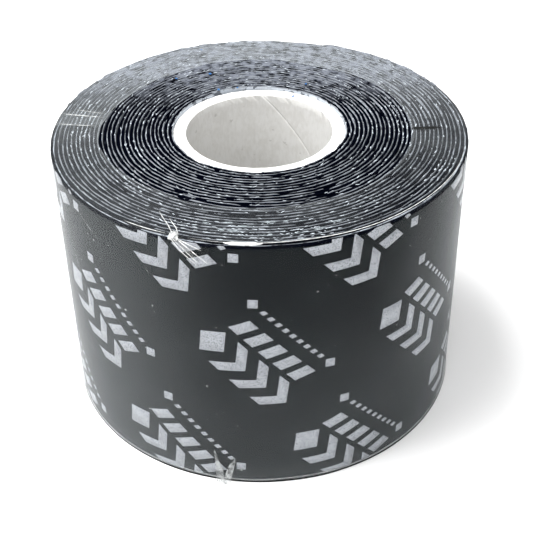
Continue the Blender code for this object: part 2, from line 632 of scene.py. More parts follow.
def make_piece(name: str, points: np.ndarray, faces: list, finish: bpy.types.Material) -> bpy.types.Object:
    """A mesh object at the origin, smooth except at its sharp edges.

    Args:
        name: The piece's name.
        points: Its points, in metres.
        faces: Its faces, as corner numbers.
        finish: Its material.

    Returns:
        The object.
    """
    mesh = bpy.data.meshes.new(name)
    mesh.from_pydata(np.asarray(points, float).reshape(-1, 3).tolist(), [], faces)
    mesh.validate()
    mesh.materials.append(finish)
    mesh.shade_smooth()
    mesh.set_sharp_from_angle(angle=math.radians(50))
    obj = bpy.data.objects.new(name, mesh)
    bpy.context.scene.collection.objects.link(obj)
    return obj


def looped_piece(name: str, grid: np.ndarray, ring: bool, finish: bpy.types.Material) -> bpy.types.Object:
    """A solid whose grid of points is a run of closed sections.

    Args:
        name: The piece's name.
        grid: Points by column, row and axis. Each column is one closed section.
        ring: Whether the sections run round into a ring. Otherwise both ends are capped.
        finish: Its material.

    Returns:
        The object.
    """
    columns, rows = grid.shape[:2]
    faces = grid_faces(columns, rows, ring, True).tolist()
    if not ring:
        faces.append(list(range(rows)))
        faces.append(list(range(columns * rows - 1, (columns - 1) * rows - 1, -1)))
    return make_piece(name, grid, faces, finish)


def merged_piece(
    name: str, parts: list[tuple[np.ndarray, list]], finish: bpy.types.Material
) -> bpy.types.Object:
    """Many small shapes as one piece.

    Args:
        name: The piece's name.
        parts: The points and faces of each shape.
        finish: Its material.

    Returns:
        The object.
    """
    points, faces, first = [], [], 0
    for shape, corners in parts:
        points.append(shape)
        faces += [[first + int(c) for c in face] for face in corners]
        first += len(shape)
    return make_piece(name, np.concatenate(points), faces, finish)


def turned_about_axis(angle: float) -> np.ndarray:
    """The matrix that turns points about the roll's axis.

    Args:
        angle: How far, in radians.

    Returns:
        A 3 by 3 matrix.
    """
    cos, sin = math.cos(angle), math.sin(angle)
    return np.array([[cos, -sin, 0], [sin, cos, 0], [0, 0, 1]])


def polar(azimuth: float | np.ndarray, radius: float | np.ndarray, height: float | np.ndarray) -> np.ndarray:
    """The point at an azimuth in degrees, a radius and a height."""
    turn = np.radians(azimuth)
    parts = np.broadcast_arrays(radius * np.sin(turn), -radius * np.cos(turn), height)
    return np.stack(parts, -1)


@dataclass(frozen=True)
class Ripple:
    """A smooth unevenness round the axis, made of whole waves that drift with the radius."""

    seed: int
    size: float
    fewest: int
    most: int
    count: int = 24
    drift: float = 0.0

    def at(self, angle: np.ndarray, radius: np.ndarray | float = 0.0) -> np.ndarray:
        """The unevenness at an angle and a radius.

        Args:
            angle: The angle about the axis, in radians.
            radius: The distance from the axis, in metres.

        Returns:
            The offsets, about size in depth.
        """
        rng = np.random.default_rng(self.seed)
        orders = rng.integers(self.fewest, self.most + 1, self.count)
        phases = rng.uniform(0, TAU, self.count)
        drifts = rng.normal(0, self.drift, self.count)
        total = np.zeros(np.broadcast(angle, radius).shape)
        for order, phase, slide in zip(orders, phases, drifts):
            total += np.sin(order * angle + phase + slide * radius)
        return self.size * total / math.sqrt(self.count / 2)


# ---------------------------------------------------------------- frame sizes


@dataclass(frozen=True)
class RollSizes:
    """What the pieces need to know of the frame."""

    bore: float
    core: float
    web: float
    film: float
    bottom: float
    top: float
    core_top: float
    film_top: float

    @classmethod
    def read(cls) -> "RollSizes":
        """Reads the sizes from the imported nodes.

        Returns:
            The sizes, in metres.
        """
        inner_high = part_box("core_inner_ply")[1]
        tape_low, tape_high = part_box("tape_web")
        film_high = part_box("shrink_band")[1]
        wall = 0.45 * MM
        return cls(
            bore=inner_high.x - wall + 0.22 * MM,
            core=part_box("core_outer_ply")[1].x,
            web=film_high.x - 0.2 * MM,
            film=film_high.x,
            bottom=tape_low.z,
            top=tape_high.z,
            core_top=inner_high.z,
            film_top=film_high.z,
        )


# ---------------------------------------------------------------- the core


@dataclass
class PaperCore:
    """The spiral-wound paper tube, ply by ply."""

    sizes: RollSizes
    columns: int = 300
    wall_rows: int = 36
    lead: float = 87.0 * MM
    seam_azimuth: float = 174.7
    seam_height: float = 49.7 * MM
    seam_half: float = 0.09 * MM
    seam_depth: float = 0.07 * MM
    ply_turns: tuple = (0.0, 0.37, 0.71, 0.18, 0.55)

    def build(self) -> list[bpy.types.Object]:
        """Builds every ply.

        Returns:
            The pieces.
        """
        low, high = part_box("core_inner_ply")
        ends = {"middle": 0.5 * (low.z + high.z), "half": 0.5 * (high.z - low.z)}
        face = CorePaper("Core face paper", **ends).build()
        light, shade = (0.94, 0.935, 0.91, 1.0), (0.86, 0.85, 0.81, 1.0)
        board = CorePaper("Core board", light=light, shade=shade, **ends).build()
        names = ["core_inner_ply", "core_body_ply_1", "core_body_ply_2", "core_body_ply_3", "core_outer_ply"]
        pieces = []
        for place, node in enumerate(names):
            body = "body" in node
            ply = self.ply(place, node, len(names), board if body else face)
            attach(ply, BODY)
            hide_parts(node)
            pieces.append(ply)
        return pieces

    def ply(self, place: int, node: str, count: int, finish: bpy.types.Material) -> bpy.types.Object:
        """One ply: a tube whose strip meets itself in a slanting butt seam.

        Args:
            place: Its place, from the bore outwards.
            node: The CAD node that it stands for.
            count: How many plies there are.
            finish: Its material.

        Returns:
            The piece.
        """
        low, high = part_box(node)
        step = (self.sizes.core - self.sizes.bore) / count
        inner = self.sizes.bore + place * step
        outer = inner + step - 0.004 * MM
        round_off = 0.03 * MM
        heights = np.linspace(low.z + round_off, high.z - round_off, self.wall_rows)
        section = [(outer, z) for z in heights] + [(outer - round_off, high.z), (inner + round_off, high.z)]
        section += [(inner, z) for z in heights[::-1]]
        section += [(inner + round_off, low.z), (outer - round_off, low.z)]
        section = np.array(section)
        seam = np.array([-6, -2, -1, -0.5, 0.5, 1, 2, 6]) * self.seam_half / inner
        even = np.linspace(0, TAU, self.columns, endpoint=False)
        far = np.abs((even + math.pi) % TAU - math.pi) > 8 * self.seam_half / inner
        around = np.sort(np.concatenate([even[far], seam % TAU]))
        twist = (section[:, 1] - self.seam_height) * TAU / self.lead
        start = math.radians(self.seam_azimuth - 90) + self.ply_turns[place] * TAU
        angle = around[:, None] + twist[None, :] + start
        radius = np.broadcast_to(section[:, 0], angle.shape).copy()
        height = np.broadcast_to(section[:, 1], angle.shape).copy()
        offset = np.abs((around + math.pi) % TAU - math.pi) * inner / self.seam_half
        groove = np.clip(1.6 - offset, 0, 1)[:, None]
        on_bore = (section[:, 0] < inner + 0.5 * (outer - inner))[None, :]
        on_end = (section[:, 1] > high.z - 0.5 * round_off)[None, :]
        radius += np.where(on_bore, groove * self.seam_depth, -groove * 0.3 * self.seam_depth)
        radius += Ripple(31, 0.012 * MM, 2, 9).at(angle)
        height += np.where(on_end, Ripple(40 + place, 0.015 * MM, 3, 40).at(angle), 0.0)
        grid = np.stack([radius * np.cos(angle), radius * np.sin(angle), height], -1)
        return looped_piece("paper_" + node.removeprefix("core_"), grid, True, finish)


# ---------------------------------------------------------------- the winding


@dataclass
class Winding:
    """The web and its liner, wound together: round each turn, then one layer up at the back."""

    sizes: RollSizes
    layers: int = 28
    start_angle: float = TAU * 11 / 32
    climb_share: float = 5 / 32
    steps: int = 300
    liner_thickness: float = 0.2 * MM
    slack: float = 0.05 * MM

    @property
    def pitch(self) -> float:
        """How far one layer is from the next."""
        return (self.sizes.web - self.sizes.core) / self.layers

    @property
    def turns(self) -> np.ndarray:
        """The turn counts of a strip's sections."""
        last = self.layers - self.climb_share
        return np.linspace(0, last, int(last * self.steps))

    def climbed(self, turns: np.ndarray) -> np.ndarray:
        """How many layers up the strip is after these turns."""
        layer, along = np.divmod(turns, 1.0)
        climb = np.clip((along - 1 + self.climb_share) / self.climb_share, 0, 1)
        return layer + climb * climb * (3 - 2 * climb)

    def centre_radius(self, turns: np.ndarray) -> np.ndarray:
        """The radius of the layer's inner side after these turns."""
        return self.sizes.core + self.slack + self.pitch * self.climbed(turns)

    def strip(self, name: str, inner: float, outer: float, edge: dict, finishes: list) -> bpy.types.Object:
        """One strip, standing on its edge.

        Args:
            name: The piece's name.
            inner: Its inner face, from the layer's inner side.
            outer: Its outer face, from the layer's inner side.
            edge: Arrays for each section: how far the top edge stands up, leans and thickens.
            finishes: Its material, and that of its cut edges if it has another.

        Returns:
            The piece.
        """
        turns = self.turns
        angle = self.start_angle + TAU * turns
        base = self.centre_radius(turns)
        low, high = self.sizes.bottom, self.sizes.top
        corner = 0.28 * (outer - inner)
        drop = 0.5 * corner
        # radius, height, how much of the top edge's and of the bottom edge's unevenness a row takes
        rows = (
            (outer, low + 0.6 * MM, 0.0, 0.0),
            (outer, high - 0.75 * MM, 0.0, 0.0),
            (outer, high - corner, 1.0, 0.0),
            (outer - 0.4 * corner, high - 0.35 * drop, 1.0, 0.0),
            (outer - corner, high, 1.0, 0.0),
            (inner + corner, high, 1.0, 0.0),
            (inner + 0.4 * corner, high - 0.35 * drop, 1.0, 0.0),
            (inner, high - corner, 1.0, 0.0),
            (inner, high - 0.6 * MM, 0.0, 0.0),
            (inner, low + 0.6 * MM, 0.0, 0.0),
            (inner, low + corner, 0.0, 1.0),
            (inner + corner, low, 0.0, 1.0),
            (outer - corner, low, 0.0, 1.0),
            (outer, low + corner, 0.0, 1.0),
        )
        grid = np.zeros((len(turns), len(rows), 3))
        middle = 0.5 * (inner + outer)
        for j, (reach, height, top, foot) in enumerate(rows):
            side = (reach - middle) * (1 + top * (edge["thick"] - 1))
            radius = base + middle + side + top * edge["lean"]
            lift = top * edge["rise"] - foot * np.minimum(edge["rise"], 0.0)
            grid[:, j, 0] = radius * np.cos(angle)
            grid[:, j, 1] = radius * np.sin(angle)
            grid[:, j, 2] = height + lift
        piece = looped_piece(name, grid, False, finishes[0])
        if len(finishes) > 1:
            piece.data.materials.append(finishes[1])
            loops = np.arange(len(piece.data.polygons)) % len(rows)
            cut = ((loops >= 1) & (loops <= 7)) | (loops >= 10) & (loops <= 12)
            piece.data.polygons.foreach_set("material_index", cut.astype(np.int32))
        return piece

    def build(self) -> list[bpy.types.Object]:
        """Builds the web and the liner.

        Returns:
            The two pieces.
        """
        turns = self.turns
        angle = self.start_angle + TAU * turns
        base = self.centre_radius(turns)
        sway = Ripple(5, 0.07 * MM, 2, 12, drift=2200.0).at(angle, base)
        fine = np.random.default_rng(11).normal(0, 1, len(turns))
        rough = np.convolve(fine, [0.25, 0.5, 0.25], "same")
        outermost = turns > self.layers - 1 - self.climb_share
        rise = Ripple(6, 0.03 * MM, 3, 60, drift=2600.0).at(angle, base)
        web_edge = {
            "rise": -0.05 * MM + rise + 0.01 * MM * rough,
            "lean": sway,
            "thick": 1.0 + 0.05 * Ripple(7, 1.0, 6, 70, drift=4000.0).at(angle, base) + 0.02 * rough,
        }
        web_edge["lean"] = np.where(outermost, -0.02 * MM, web_edge["lean"])
        web_edge["thick"] = np.clip(np.where(outermost, 0.96, web_edge["thick"]), 0.8, 1.02)
        fuzz = np.random.default_rng(12).normal(0, 1, len(turns))
        fuzz = np.convolve(fuzz, [0.3, 0.4, 0.3], "same")
        patch = Ripple(8, 1.0, 4, 60, count=40, drift=5200.0).at(angle, base)
        torn = np.clip(Ripple(10, 1.0, 3, 34, count=50, drift=6000.0).at(angle, base) - 1.25, 0, 1)
        liner_edge = {
            "rise": -0.07 * MM + 0.025 * MM * patch + 0.008 * MM * fuzz - 0.35 * MM * torn,
            "lean": sway + 0.02 * MM * Ripple(9, 1.0, 6, 60, drift=5000.0).at(angle, base),
            "thick": np.clip(0.57 + 0.2 * patch + 0.05 * fuzz, 0.2, 1.3),
        }
        liner_edge["rise"] = np.clip(liner_edge["rise"], -0.6 * MM, 0.03 * MM)
        web_edge["rise"] = np.clip(web_edge["rise"], -0.3 * MM, 0.02 * MM)
        for edge in (web_edge, liner_edge):
            edge["rise"] = np.where(outermost, edge["rise"] - 0.3 * MM, edge["rise"])
        thin = self.liner_thickness
        rubber = [GripFace("Grip rubber face").build(), CutEdge("Grip rubber cut edge").build()]
        paper = [LinerPaper("Release liner paper", rim=self.sizes.top).build()]
        liner = self.strip("wound_liner", 0.0, thin, liner_edge, paper)
        web = self.strip("wound_web", thin + self.slack, self.pitch - self.slack, web_edge, rubber)
        for piece, node, slot in ((liner, "release_liner", Slot.LINER), (web, "tape_web", Slot.TAPE)):
            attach(piece, BODY)
            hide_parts(node)
        return [liner, web]


@dataclass
class EdgeFuzz:
    """Torn fibres of the liner and crumbs of adhesive, on the winding's top edges."""

    sizes: RollSizes
    winding: Winding
    count: int = 1300
    seed: int = 77
    # azimuth and radius of where flakes gather
    clusters: tuple = (
        (-84.0, 32.5),
        (-101.0, 32.0),
        (-70.0, 22.5),
        (97.0, 25.2),
        (84.0, 25.6),
        (-20.0, 33.0),
    )
    clusters_front: tuple = (
        (4.0, 34.0),
        (16.0, 33.4),
        (-8.0, 32.6),
        (38.0, 30.5),
        (62.0, 33.5),
        (-52.0, 27.5),
    )
    # azimuth, radius, half width and half length along the radius; the first two of each came
    # from a camera fit, and some were then moved
    ticks: tuple = (
        (152.4, 13.8, 0.14, 0.6),
        (-156.3, 22.7, 0.28, 0.30),
        (-165.3, 15.4, 0.22, 0.22),
        (-152.6, 16.1, 0.25, 0.32),
        (150.6, 18.1, 0.20, 0.30),
        (-141.0, 24.6, 0.18, 0.30),
        (-160.5, 33.4, 0.20, 0.25),
    )

    def flake(self, rng: np.random.Generator, azimuth: float, radius: float, height: float) -> tuple:
        """One flake: a bent, uneven lens.

        Args:
            rng: The source of its shape.
            azimuth: Where it lies.
            radius: Where it lies.
            height: What it lies on.

        Returns:
            Its points and faces.
        """
        sides = 7
        length = rng.uniform(0.12, 0.55) * MM
        width = rng.uniform(0.05, 0.11) * MM
        thick = rng.uniform(0.02, 0.05) * MM
        around = np.linspace(0, TAU, sides, endpoint=False)
        uneven = rng.uniform(0.65, 1.15, sides)
        rim = np.stack([width * np.cos(around) * uneven, length * np.sin(around) * uneven, 0 * around], -1)
        rim[:, 2] += rng.uniform(-0.25, 0.25) * rim[:, 1]
        points = np.concatenate([rim, [[0, 0, thick], [0, 0, -thick]]])
        spin = math.radians(azimuth) + rng.normal(0, 0.22)
        turn = turned_about_axis(spin)
        # the flake's length runs along its layer
        points = points[:, [1, 0, 2]] @ turn.T + polar(azimuth, radius, height)
        faces = []
        for k in range(sides):
            after = (k + 1) % sides
            faces += [(k, sides, after), (after, sides + 1, k)]
        return points, faces

    def build(self) -> list[bpy.types.Object]:
        """Builds the flakes and the small blue ticks on the edges.

        Returns:
            The pieces.
        """
        rng = np.random.default_rng(self.seed)
        layers = self.winding.layers
        start = self.sizes.core + self.winding.slack
        parts = []
        for k in range(self.count):
            if k % 3:
                azimuth = rng.uniform(-180, 180)
                layer = int(rng.integers(0, layers - 1))
            else:
                places = self.clusters if k % 2 else self.clusters_front
                middle, radius = places[int(rng.integers(len(places)))]
                azimuth = middle + rng.normal(0, 7)
                layer = (radius * MM - start) / self.winding.pitch + rng.normal(0, 1.6)
                layer = int(np.clip(layer, 0, layers - 2))
            radius = start + self.winding.pitch * layer + rng.normal(0.1, 0.06) * MM
            parts.append(self.flake(rng, azimuth, radius, self.sizes.top - 0.03 * MM))
        fibres = LinerPaper("Liner fibres", soil=0.25, clean=(0.62, 0.68, 0.74, 1.0), rim_tone=0.8)
        fuzz = merged_piece("liner_edge_fuzz", parts, fibres.build())
        ticks = []
        for azimuth, radius, across, along in self.ticks:
            level = self.sizes.top if radius * MM > self.sizes.core else self.sizes.core_top
            middle = polar(azimuth, radius * MM, level + 0.03 * MM)
            around = np.linspace(0, TAU, 9)[:-1]
            rim = np.stack([across * MM * np.cos(around), along * MM * np.sin(around)], -1)
            rim *= rng.uniform(0.7, 1.1, 8)[:, None]
            points = np.concatenate([np.insert(rim, 2, z * MM, axis=1) for z in (-0.05, 0.05)])
            spin = turned_about_axis(math.radians(azimuth))
            faces = [tuple(range(7, -1, -1)), tuple(range(8, 16))]
            faces += [(k, (k + 1) % 8, 8 + (k + 1) % 8, 8 + k) for k in range(8)]
            ticks.append((points @ spin.T + middle, faces))
        marks = merged_piece("edge_ticks", ticks, PlainMark("Blue edge mark").build())
        for piece in (fuzz, marks):
            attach(piece, BODY)
        return [fuzz, marks]


# ---------------------------------------------------------------- the print


@dataclass
class TapePrint:
    """The print on the tape's face: rows of plain shapes on a slant, repeated in half steps."""

    sizes: RollSizes
    winding: Winding
    repeat: float = 30.75 * MM
    row_drop: float = 22.4 * MM
    first_arc: float = -8.34 * MM
    first_height: float = 31.55 * MM
    slant: float = math.radians(-47.4)
    lift: float = 0.012 * MM
    thickness: float = 0.012 * MM
    slice_width: float = 0.9 * MM

    def corner_shape(self, u: float, v: float, sides: int, wide: float, tall: float) -> list:
        """A regular shape with straight sides, stretched to a size.

        Args:
            u: Its centre along the row, in millimetres.
            v: Its centre across the row.
            sides: How many corners it has.
            wide: Its size along the row.
            tall: Its size across the row.

        Returns:
            One face.
        """
        around = [TAU * k / sides for k in range(sides)]
        return [[np.array([u + wide / 2 * math.cos(a), v + tall / 2 * math.sin(a)]) for a in around]]

    def slab(self, u: float, v: float, wide: float, tall: float, slant: float) -> list:
        """A slanting four-sided block.

        Args:
            u: Its centre along the row, in millimetres.
            v: Its centre across the row.
            wide: Its size along the row.
            tall: Its size across the row.
            slant: How far its top is ahead of its foot.

        Returns:
            One face.
        """
        half, lean = wide / 2, slant / 2
        foot = [(u - half - lean, v - tall / 2), (u + half - lean, v - tall / 2)]
        top = [(u + half + lean, v + tall / 2), (u - half + lean, v + tall / 2)]
        return [[np.array(p) for p in foot + top]]

    def arrowhead(self, u: float, v: float, wide: float, tall: float, width: float) -> list:
        """An arrowhead of even width, that points along the row.

        Args:
            u: Its centre along the row, in millimetres.
            v: Its centre across the row.
            wide: Its size along the row.
            tall: Its size across the row.
            width: How wide its arms are.

        Returns:
            Two faces.
        """
        tip, back = u + wide / 2, u - wide / 2
        upper = [(tip, v), (back + width, v + tall / 2), (back, v + tall / 2), (tip - width, v)]
        lower = [(tip - width, v), (back, v - tall / 2), (back + width, v - tall / 2), (tip, v)]
        return [[np.array(p) for p in upper], [np.array(p) for p in lower]]

    def motif(self) -> list:
        """The faces of one repeat: arrowheads, a row of slabs and a row of small blocks.

        Returns:
            The faces, as lists of flat points in millimetres.
        """
        faces = self.corner_shape(-0.2, 0.2, 4, 5.4, 6.2)
        for u in (5.0, 9.9, 14.8):
            faces += self.arrowhead(u, 0.1, 5.2, 6.8, 2.3)
        for u in (0.9, 4.3, 7.7, 11.1, 14.5):
            faces += self.slab(u, 6.2, 2.1, 3.5, 1.3)
        small = 10.6
        for u in (-1.6, 17.0):
            faces += self.corner_shape(u, small, 4, 2.3, 2.3)
        for k in range(9):
            faces += self.slab(0.9 + 1.7 * k, small, 0.85, 0.85, 0.3)
        return faces

    def flat_faces(self, first: float, last: float) -> tuple[list, list]:
        """Every motif between two places on the strip, trimmed to its edges.

        Args:
            first: Where the strip starts, along its length.
            last: Where it ends.

        Returns:
            The points and faces, flat, along the strip and up it.
        """
        flat = bmesh.new()
        cos, sin = math.cos(self.slant), math.sin(self.slant)
        shapes = self.motif()
        for drop in (-1, 0, 1):
            shift = 0.5 * self.repeat * drop
            low = math.floor((first - self.first_arc - shift) / self.repeat) - 1
            high = math.ceil((last - self.first_arc - shift) / self.repeat) + 1
            for k in range(low, high + 1):
                along = self.first_arc + shift + k * self.repeat
                up = self.first_height - drop * self.row_drop
                for shape in shapes:
                    corners = [
                        flat.verts.new((along + MM * (u * cos - v * sin), up + MM * (u * sin + v * cos), 0))
                        for u, v in shape
                    ]
                    flat.faces.new(corners)
        margin = 0.25 * MM
        cuts = [((first, 0, 0), (-1, 0, 0)), ((last - margin, 0, 0), (1, 0, 0))]
        cuts.append(((0, self.sizes.bottom + margin, 0), (0, -1, 0)))
        cuts.append(((0, self.sizes.top - margin, 0), (0, 1, 0)))
        for place, away in cuts:
            whole = flat.verts[:] + flat.edges[:] + flat.faces[:]
            bmesh.ops.bisect_plane(flat, geom=whole, plane_co=place, plane_no=away, clear_outer=True)
        for x in np.arange(first, last, self.slice_width):
            near = [f for f in flat.faces if min(v.co.x for v in f.verts) < x < max(v.co.x for v in f.verts)]
            edges = {e for f in near for e in f.edges}
            verts = {v for f in near for v in f.verts}
            whole = [*verts, *edges, *near]
            bmesh.ops.bisect_plane(flat, geom=whole, plane_co=(x, 0, 0), plane_no=(1, 0, 0))
        bmesh.ops.recalc_face_normals(flat, faces=flat.faces)
        flat.verts.index_update()
        points = [tuple(v.co) for v in flat.verts]
        faces = []
        for face in flat.faces:
            corners = [v.index for v in face.verts]
            area = sum(
                points[a][0] * points[b][1] - points[b][0] * points[a][1]
                for a, b in zip(corners, corners[1:] + corners[:1])
            )
            if abs(area) > 1e-12:
                faces.append(corners if area > 0 else corners[::-1])
        flat.free()
        return points, faces

    def build(self) -> bpy.types.Object:
        """Builds the print round the tape's outer face.

        Returns:
            The piece.
        """
        radius = self.sizes.web - self.winding.slack
        # the strip's own length, measured so that it is 0 at the front of the last layer
        front = math.radians(-90)
        tail_angle = self.winding.start_angle - self.winding.climb_share * TAU
        last = ((tail_angle - front) % TAU) * radius
        first = last - TAU * radius * (1 + self.winding.climb_share + 0.02)
        points, faces = self.flat_faces(first, last)
        flat = np.array(points)
        angle = front + flat[:, 0] / radius
        turns = self.winding.layers - 1 + (angle - self.winding.start_angle + TAU) / TAU
        reach = self.winding.centre_radius(turns) + self.winding.pitch - self.winding.slack + self.lift
        points = np.stack([reach * np.cos(angle), reach * np.sin(angle), flat[:, 1]], -1)
        piece = make_piece("tape_print", points, faces, SilverInk("Silver print ink").build())
        thicken = piece.modifiers.new("Ink", "SOLIDIFY")
        thicken.thickness = self.thickness
        thicken.offset = -1.0
        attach(piece, BODY)
        return piece


# ---------------------------------------------------------------- the film


@dataclass
class ShrinkFilm:
    """The clear band: its wall, its two lips, the folds that shrinking left in it, and painted highlights
    and a painted shadow along its rims.
    """

    sizes: RollSizes
    opening: float = 26.55 * MM
    # where the opening is wider or tighter: azimuth, spread and how much
    opening_bulges: tuple = ((-82.0, 26.0, 1.55), (153.0, 16.0, -1.1), (60.0, 25.0, 0.35))
    thickness: float = 0.04 * MM
    corner: float = 0.85 * MM
    low_corner: float = 0.3 * MM
    columns: int = 720
    lip_rows: int = 22
    wall_rows: int = 44
    corner_rows: int = 6
    knot_azimuth: float = -21.5
    # patches on the lip: azimuth and distance in from the rim of both ends, and width; the ends
    # came from a camera fit and were rounded afterwards
    clinging: tuple = (
        ((-18.5, 5.3), (-14.0, 5.1), 0.36),
        ((-12.0, 3.9), (-5.5, 3.8), 0.42),
        ((-11.5, 5.7), (-8.0, 6.0), 0.36),
        ((-6.5, 5.1), (-2.5, 5.1), 0.3),
        ((-1.0, 2.8), (3.5, 2.7), 0.54),
        ((-0.5, 6.3), (4.5, 6.1), 0.45),
        ((5.0, 6.3), (8.0, 6.1), 0.36),
        ((8.5, 2.7), (12.0, 2.8), 0.54),
        ((11.0, 5.7), (14.5, 5.8), 0.3),
        ((13.0, 2.9), (17.0, 3.1), 0.48),
        ((19.0, 4.1), (23.5, 3.9), 0.36),
    )

    @property
    def wall(self) -> float:
        """The film's outer radius."""
        return self.sizes.film - 0.06 * MM

    @property
    def lid(self) -> float:
        """The height of the top lip's outer side."""
        return self.sizes.film_top - 0.04 * MM

    def profile(self) -> np.ndarray:
        """The outer side's section, from the bottom lip's edge up the wall to the top lip's edge.

        Returns:
            Radius and height of each row.
        """
        foot = 0.03 * MM
        corner, wall, lid = self.corner, self.wall, self.lid
        low = self.low_corner
        rows = [(r, foot) for r in np.linspace(self.opening, wall - low, self.lip_rows)]
        turn = np.linspace(-math.pi / 2, 0, self.corner_rows + 2)[1:-1]
        rows += [(wall - low + low * math.cos(a), foot + low + low * math.sin(a)) for a in turn]
        rows += [(wall, z) for z in np.linspace(foot + low, lid - corner, self.wall_rows)]
        turn = np.linspace(0, math.pi / 2, self.corner_rows + 2)[1:-1]
        rows += [(wall - corner + corner * math.cos(a), lid - corner + corner * math.sin(a)) for a in turn]
        rows += [(r, lid) for r in np.linspace(wall - corner, self.opening, self.lip_rows)]
        return np.array(rows)

    def band(self, finish: bpy.types.Material) -> bpy.types.Object:
        """The band itself, as one closed skin.

        Args:
            finish: Its material.

        Returns:
            The piece.
        """
        section = self.profile()
        along = np.gradient(section, axis=0)
        along /= np.linalg.norm(along, axis=1)[:, None]
        normal = np.stack([along[:, 1], -along[:, 0]], -1)
        azimuth = np.linspace(-180, 180, self.columns, endpoint=False)
        turn = np.radians(azimuth)[:, None]
        radius = np.broadcast_to(section[:, 0], (self.columns, len(section))).copy()
        height = np.broadcast_to(section[:, 1], radius.shape).copy()
        flat = self.wall - self.corner
        share = np.clip((flat - section[:, 0]) / (flat - self.opening), 0, 1)[None, :]
        radius += share**4 * Ripple(51, 0.08 * MM, 2, 30).at(turn)
        for middle, spread, size in self.opening_bulges:
            off = (azimuth - middle + 180) % 360 - 180
            radius += share * (size * MM * np.exp(-((off / spread) ** 2)))[:, None]
        swell = Ripple(52, 0.012 * MM, 2, 12).at(turn)
        bulge = swell + 0.010 * MM * np.sin(3.1 * section[None, :, 1] / (6 * MM) + 4 * np.sin(2 * turn))
        dent = Ripple(53, 0.012 * MM, 12, 70).at(turn) * (share > 0.02)
        move = -np.abs(bulge) - np.abs(dent) * (height > 1 * MM)
        outer_r, outer_z = radius + normal[:, 0] * move, height + normal[:, 1] * move
        inner_r = radius + normal[:, 0] * (move - self.thickness)
        inner_z = height + normal[:, 1] * (move - self.thickness)
        loop_r = np.concatenate([outer_r, inner_r[:, ::-1]], 1)
        loop_z = np.concatenate([outer_z, inner_z[:, ::-1]], 1)
        grid = np.stack([loop_r * np.sin(turn), -loop_r * np.cos(turn), np.maximum(loop_z, 0.0)], -1)
        piece = looped_piece("film_band", grid, True, finish)
        crease = self.crease_map(azimuth, section)
        values = np.concatenate([crease, crease[:, ::-1]], 1)
        layer = piece.data.attributes.new("crease", "FLOAT", "POINT")
        layer.data.foreach_set("value", values.astype(np.float32).ravel())
        return piece

    def crease_map(self, azimuth: np.ndarray, section: np.ndarray) -> np.ndarray:
        """How white each point of the film is.

        Args:
            azimuth: Each column's azimuth.
            section: Each row's radius and height.

        Returns:
            A share from 0 to 1 for each point.
        """
        radius, height = section[:, 0][None, :], section[:, 1][None, :]
        side = azimuth[:, None]
        top = height > self.lid - 0.1 * MM
        behind = -radius * np.cos(np.radians(side))
        patch = (side < -80) & top & (behind > 1.4 * MM) & (behind < 6.6 * MM)
        value = np.where(patch, 0.06 - 0.006 * (behind / MM - 1.4), 0.0)
        edge = np.exp(-(((radius - self.opening) / (0.22 * MM)) ** 2)) * top
        return np.clip(value + 0.10 * edge, 0, 1)

    def surface(self, place: tuple[float, float, float]) -> tuple[np.ndarray, np.ndarray]:
        """A point on the film and the way out of it.

        Args:
            place: Azimuth; distance in along the lip from the rim (positive) or down the wall
                (negative), in millimetres; and lift off the film, in millimetres.

        Returns:
            The point and the outward direction.
        """
        azimuth, path, lift = place
        corner = self.corner
        if path >= corner / MM:
            point, out = (self.wall - path * MM, self.lid), (0.0, 1.0)
        elif path <= -corner / MM:
            point, out = (self.wall, self.lid + path * MM), (1.0, 0.0)
        else:
            a = math.pi / 4 * (1 + path * MM / corner)
            out = (math.cos(a), math.sin(a))
            point = (self.wall - corner + corner * out[0], self.lid - corner + corner * out[1])
        reach = np.array(point) + lift * MM * np.array(out)
        turn = math.radians(azimuth)
        side = np.array([math.sin(turn), -math.cos(turn), 0.0])
        return side * reach[0] + np.array([0, 0, reach[1]]), side * out[0] + np.array([0, 0, out[1]])

    def pleat(self, path: Path, width: float, height: float) -> tuple[np.ndarray, list]:
        """A fold that lies on the film, thin at both ends.

        Args:
            path: Places as surface takes them.
            width: How wide it is, in millimetres.
            height: How high it is, in millimetres.

        Returns:
            Its points and faces.
        """
        knots = np.array(path, float)
        count = 9 * (len(knots) - 1) + 1
        spots = np.linspace(0, len(knots) - 1, count)
        smooth = np.stack([np.interp(spots, range(len(knots)), knots[:, k]) for k in range(3)], -1)
        for _ in range(4):
            smooth[1:-1] = 0.25 * smooth[:-2] + 0.5 * smooth[1:-1] + 0.25 * smooth[2:]
        middles, outs = (np.array(x) for x in zip(*(self.surface(tuple(p)) for p in smooth)))
        ways = np.gradient(middles, axis=0)
        sides = np.cross(outs, ways)
        sides /= np.linalg.norm(sides, axis=1)[:, None]
        taper = np.clip(np.sin(np.linspace(0.06, math.pi - 0.06, count)) * 1.5, 0.12, 1)
        arc = ((-0.5, -0.1), (-0.3, 0.55), (0.0, 1.0), (0.3, 0.55), (0.5, -0.1))
        grid = np.zeros((count, len(arc), 3))
        for k, (across, up) in enumerate(arc):
            grid[:, k] = middles + (sides * across * width + outs * up * height) * (taper * MM)[:, None]
        faces = grid_faces(count, len(arc), False, True).tolist()
        faces.append(list(range(len(arc))))
        faces.append(list(range(count * len(arc) - 1, (count - 1) * len(arc) - 1, -1)))
        return grid.reshape(-1, 3), faces

